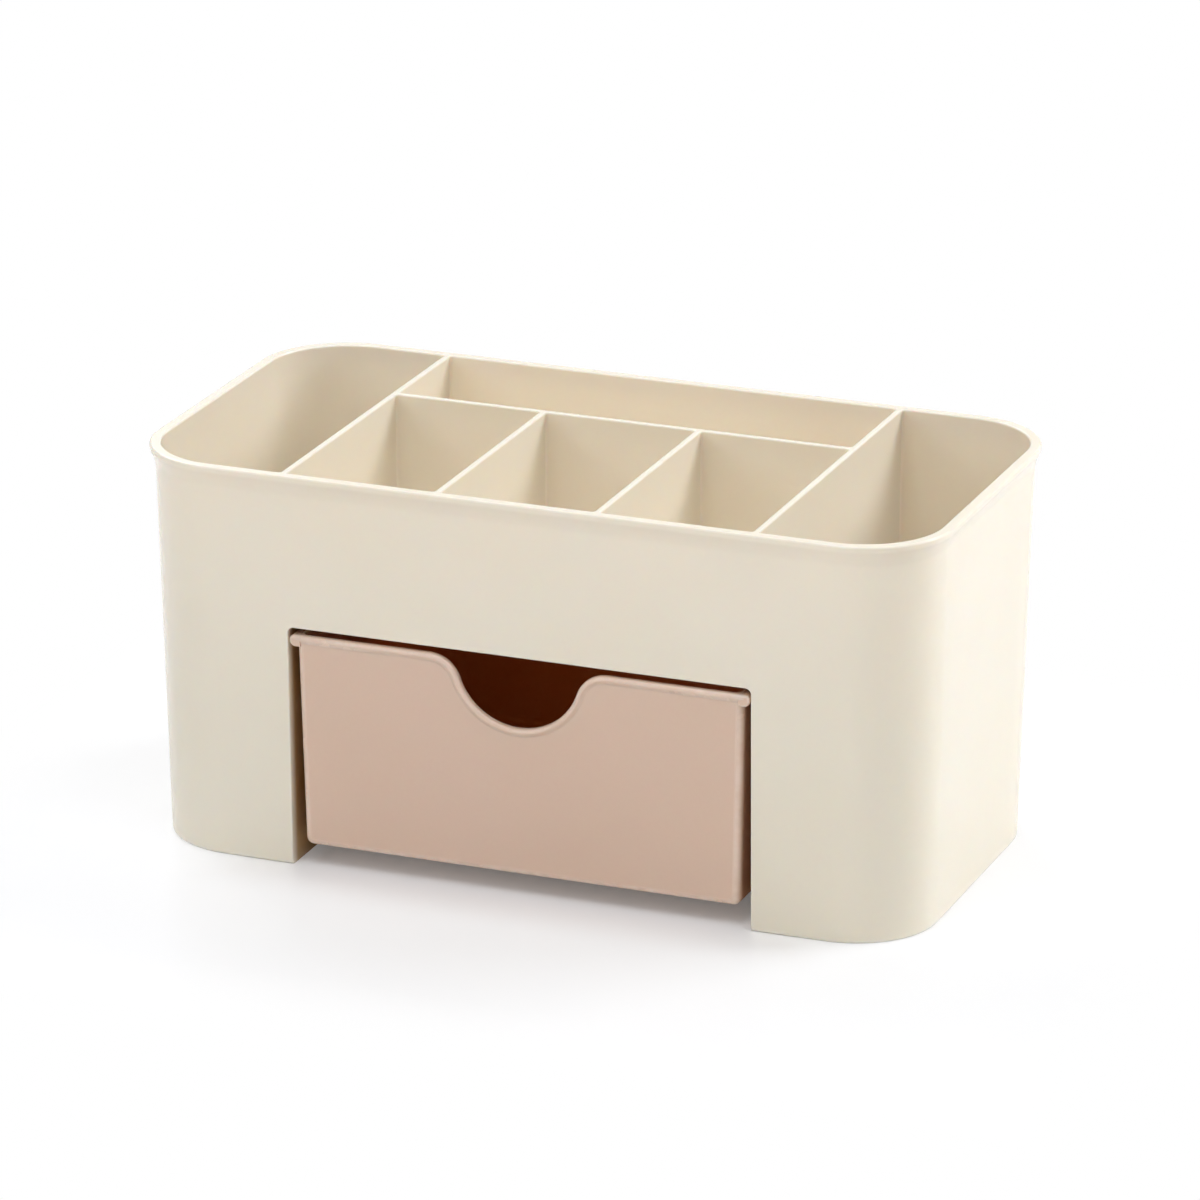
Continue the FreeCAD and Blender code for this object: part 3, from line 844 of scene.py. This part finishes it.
def sweep():
    """The floor and backdrop: flat to 1.2 m behind the object, then a quarter round of 0.8 m radius up."""
    turn = np.linspace(0, math.pi / 2, 25)
    y = np.concatenate([[-4.0], 1.2 + 0.8 * np.sin(turn), [2.0]])
    z = np.concatenate([[0], 0.8 - 0.8 * np.cos(turn), [4.0]])
    x = np.linspace(-4, 4, 2)
    points = np.stack([np.broadcast_to(x[:, None], (2, len(y))), np.broadcast_to(y, (2, len(y))),
                       np.broadcast_to(z, (2, len(z)))], axis=-1)
    return grid(points)


def floor_paint():
    """Matt white studio floor. Further from the object the camera sees it more and more as white paper."""
    material = bpy.data.materials.new("studio_floor")
    material.use_nodes = True
    tree = material.node_tree
    tree.nodes.clear()
    place = add(tree, "TexCoord").outputs["Object"]
    # how far a point lies outside a rectangle under the object: max(|x| - 0.07, |y| - 0.056) in metres.
    # Paper has 12 % there, 55 % from 22 mm out and all from 110 mm out, so only the near shadow is kept.
    parts = add(tree, "SeparateXYZ", links={"Vector": place})
    wide = add(tree, "Math", {"operation": "ABSOLUTE"}, {0: parts.outputs["X"]})
    deep = add(tree, "Math", {"operation": "ABSOLUTE"}, {0: parts.outputs["Y"]})
    past_x = add(tree, "Math", {"operation": "SUBTRACT", 1: 0.07}, {0: wide.outputs["Value"]})
    past_y = add(tree, "Math", {"operation": "SUBTRACT", 1: 0.056}, {0: deep.outputs["Value"]})
    away = add(tree, "Math", {"operation": "MAXIMUM"}, {0: past_x.outputs["Value"],
                                                        1: past_y.outputs["Value"]})
    clear = add(tree, "MapRange", {"interpolation_type": "SMOOTHSTEP", "From Min": 0.0, "From Max": 0.022,
                                   "To Min": 0.12, "To Max": 0.55}, {"Value": away.outputs["Value"]})
    distant = add(tree, "MapRange", {"interpolation_type": "SMOOTHSTEP", "From Min": 0.02, "From Max": 0.11},
                  {"Value": away.outputs["Value"]})
    white = add(tree, "Math", {"operation": "MAXIMUM"}, {0: clear.outputs["Result"],
                                                         1: distant.outputs["Result"]})
    seen = add(tree, "LightPath")
    share = add(tree, "Math", {"operation": "MULTIPLY"},
                {0: white.outputs["Value"], 1: seen.outputs["Is Camera Ray"]})
    paint = add(tree, "BsdfPrincipled", {"Base Color": colour("F6F5F3"), "Roughness": 0.4})
    paper = add(tree, "Emission", {"Color": colour("FFFFFF"), "Strength": 1.0})
    surface = add(tree, "MixShader", links={"Fac": share.outputs["Value"], 1: paint.outputs["BSDF"],
                                            2: paper.outputs["Emission"]})
    add(tree, "OutputMaterial", links={"Surface": surface.outputs["Shader"]})
    return material


points, faces = sweep()
ground_mesh = bpy.data.meshes.new("studio_floor")
ground_mesh.from_pydata(points, [], faces)
ground_mesh.shade_smooth()
ground = bpy.data.objects.new("studio_floor", ground_mesh)
bpy.context.scene.collection.objects.link(ground)
dress(ground, floor_paint())


def lamp(name, place, aim, size, power, tone):
    """A rectangular softbox at a place in metres, turned towards aim, with its power in watts."""
    data = bpy.data.lights.new(name, "AREA")
    data.shape = "RECTANGLE"
    data.size = size[0]
    data.size_y = size[1]
    data.energy = power
    data.color = colour(tone)[:3]
    made = bpy.data.objects.new(name, data)
    made.location = place
    made.rotation_euler = (Vector(place) - Vector(aim)).to_track_quat("Z", "Y").to_euler()
    bpy.context.scene.collection.objects.link(made)
    return made


LAMP_SIZE = 0.9
LAMP_FAR = 1.9
LAMP_AIM = (0, 0, 0.06)


def lamp_round(name, turn, rise, power):
    """A square softbox that looks at the object from turn degrees right of the front and rise degrees up."""
    out = math.cos(math.radians(rise)) * LAMP_FAR
    place = (math.sin(math.radians(turn)) * out, -math.cos(math.radians(turn)) * out,
             LAMP_AIM[2] + math.sin(math.radians(rise)) * LAMP_FAR)
    return lamp(name, place, LAMP_AIM, (LAMP_SIZE, LAMP_SIZE), power, "F5F8FF")


for name, turn, rise, power in (("rear_right", 125, 35, 25), ("rear_left", -138, 35, 8),
                                ("side_left", -112, 45, 11), ("side_right", 58, 50, 9),
                                ("front_left", -35, 25, 8), ("front_high", 0, 60, 12)):
    lamp_round(name, turn, rise, power)
# stands in for the little light that seeps through the thin walls into the drawer: a lamp inside it
seep = lamp("seep", (0, 0, 0.058), (0, 0.03, 0), (0.1, 0.08), 0.004, "FF7D1E")
seep.visible_camera = False
seep.visible_glossy = False

scene = bpy.context.scene
world = bpy.data.worlds.new("studio_air")
world.use_nodes = True
air = world.node_tree
air.nodes.clear()
seen = add(air, "LightPath")
# the camera and polished skins see the white studio; what lights the shadows is dim and warm
plain = add(air, "Math", {"operation": "MAXIMUM"}, {0: seen.outputs["Is Camera Ray"],
                                                    1: seen.outputs["Is Glossy Ray"]})
white = add(air, "Background", {"Color": colour("FFFFFF"), "Strength": 1.0})
dusk = add(air, "Background", {"Color": colour("FFE6C8"), "Strength": 0.03})
glow = add(air, "MixShader", links={"Fac": plain.outputs["Value"], 1: dusk.outputs["Background"],
                                    2: white.outputs["Background"]})
add(air, "OutputWorld", links={"Surface": glow.outputs["Shader"]})
scene.world = world
scene.view_settings.view_transform = "Standard"

# The camera stands to the right of the object and above it, with a long lens. Angles are in radians, its
# place in metres, the sensor in millimetres, and the focal length in pixels of a picture 1200 pixels wide.
PLACE = (0.63984, -1.64271, 0.67460)
FOCAL_PIXELS = 7060.1
PICTURE_PIXELS = 1200
SENSOR = 36
turn = 0.370706
rise = 0.333081
roll = 0.003302
back = Vector((math.sin(turn) * math.cos(rise), -math.cos(turn) * math.cos(rise), math.sin(rise)))
right = Vector((math.cos(turn), math.sin(turn), 0))
up = right.cross(-back)
across = math.cos(roll) * right + math.sin(roll) * up
upward = math.cos(roll) * up - math.sin(roll) * right
view = bpy.data.cameras.new("view")
view.sensor_width = SENSOR
view.lens = SENSOR * FOCAL_PIXELS / PICTURE_PIXELS
view.clip_end = 20
eye = bpy.data.objects.new("view", view)
eye.matrix_world = Matrix((
    (across.x, upward.x, back.x, PLACE[0]),
    (across.y, upward.y, back.y, PLACE[1]),
    (across.z, upward.z, back.z, PLACE[2]),
    (0, 0, 0, 1)))
scene.collection.objects.link(eye)
scene.camera = eye
